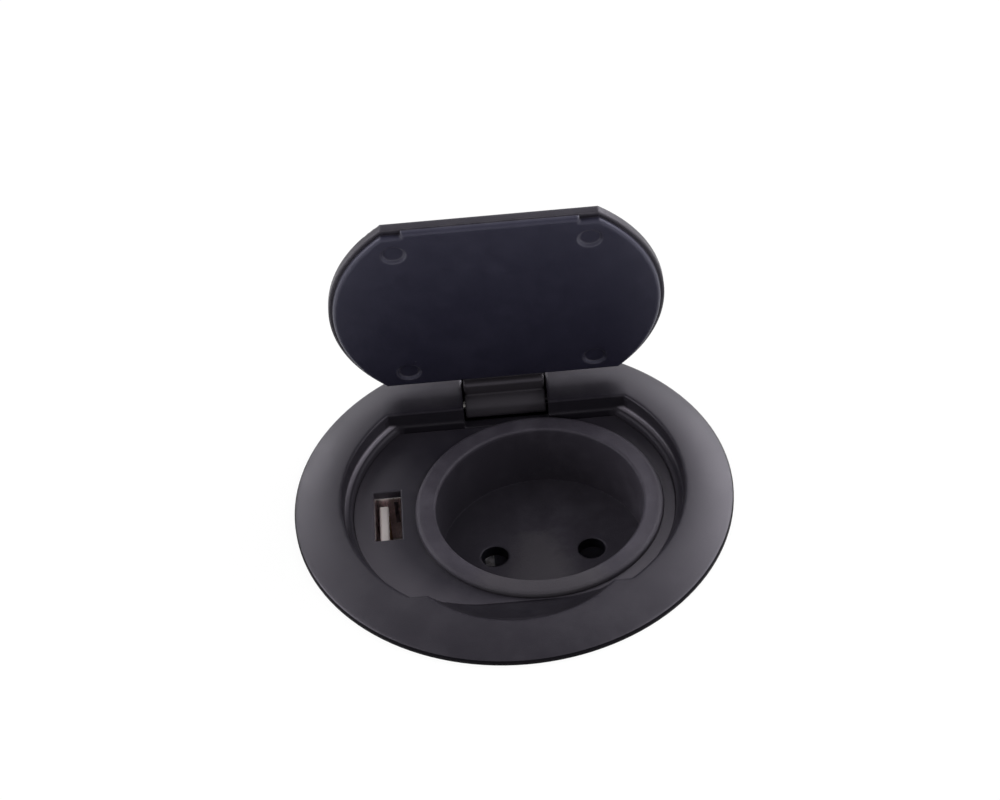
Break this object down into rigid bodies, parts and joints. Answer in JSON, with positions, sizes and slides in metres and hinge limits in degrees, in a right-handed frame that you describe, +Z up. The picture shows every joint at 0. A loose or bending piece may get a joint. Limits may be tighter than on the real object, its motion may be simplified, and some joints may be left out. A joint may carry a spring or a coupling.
{
  "type": "built-in desk power socket with hinged lid",
  "caption": "Round flush-mounted worktop socket outlet with a hinged lid, a two-pole mains well and a USB charging port.",
  "frame": {"origin": "centre of the flange's underside, where the worktop's hole and its top surface meet", "axes": "+Z up out of the worktop, +Y towards the lid's hinge, +X to the right along the hinge"},
  "size_m": [0.084, 0.084, 0.111],
  "materials": {
    "black_plastic": "fine-grained black moulding",
    "well_plastic": "flame-retardant black moulding with a soft sheen",
    "lid_plastic": "fine-grained black moulding",
    "insulator_dark": "dull dark moulding",
    "insulator_grey": "dull light grey moulding",
    "tongue_white": "off-white moulding",
    "bright_steel": "nickel-plated sheet, fine drawing lines",
    "zinc_screw": "zinc-plated",
    "contact_brass": "plain rolled",
    "contact_gold": "gold-plated strip",
    "board_green": "lacquered circuit board",
    "component_black": "moulded package",
    "ferrite_grey": "sintered ferrite",
    "capacitor_sleeve": "shrunk sleeve",
    "wire_brown": "extruded insulation",
    "wire_blue": "extruded insulation",
    "gasket_foam": "closed-cell foam",
    "grommet_rubber": "smooth soft rubber"
  },
  "bodies": {
    "socket": {"top_frame": "black_plastic", "flange_gasket": "gasket_foam", "face_plate": "black_plastic", "socket_well": "well_plastic", "contact_carrier": "insulator_dark", "terminal_block": "insulator_grey", "live_contact": "contact_brass", "neutral_contact": "contact_brass", "live_terminal": "contact_brass", "neutral_terminal": "contact_brass", "terminal_screws": "zinc_screw", "carrier_screws": "zinc_screw", "usb_shell": "bright_steel", "usb_insulator": "tongue_white", "usb_contacts": "contact_gold", "usb_board": "board_green", "usb_transformer": "ferrite_grey", "usb_capacitors": "capacitor_sleeve", "usb_controller": "component_black", "board_screws": "zinc_screw", "live_wire": "wire_brown", "neutral_wire": "wire_blue", "rear_housing": "black_plastic", "rear_cover": "black_plastic", "cover_screws": "zinc_screw", "entry_grommet": "grommet_rubber", "hinge_pin": "bright_steel"},
    "lid": {"lid_shell": "lid_plastic", "lid_inner_plate": "lid_plastic"},
    "washer": {"clamp_washer": "black_plastic"},
    "nut": {"clamp_nut": "black_plastic"}
  },
  "joints": [
    {"name": "lid_hinge", "type": "hinge", "parent": "socket", "child": "lid", "pos_m": [0, 0.0283, -0.0013], "axis": [-1, 0, 0], "range_deg": [-79.2, 13.3]},
    {"name": "nut_travel", "type": "slide", "parent": "socket", "child": "washer", "axis": [0, 0, 1], "range_m": [-0.0202, 0.0102]},
    {"name": "nut_turn", "type": "hinge", "parent": "washer", "child": "nut", "pos_m": [0, 0, -0.0245], "axis": [0, 0, 1], "range_deg": [-2400, 1200]}
  ],
  "couplings": [
    {"joint": "nut_travel", "follows": "nut_turn", "m_per_rad": 0.00047746}
  ]
}
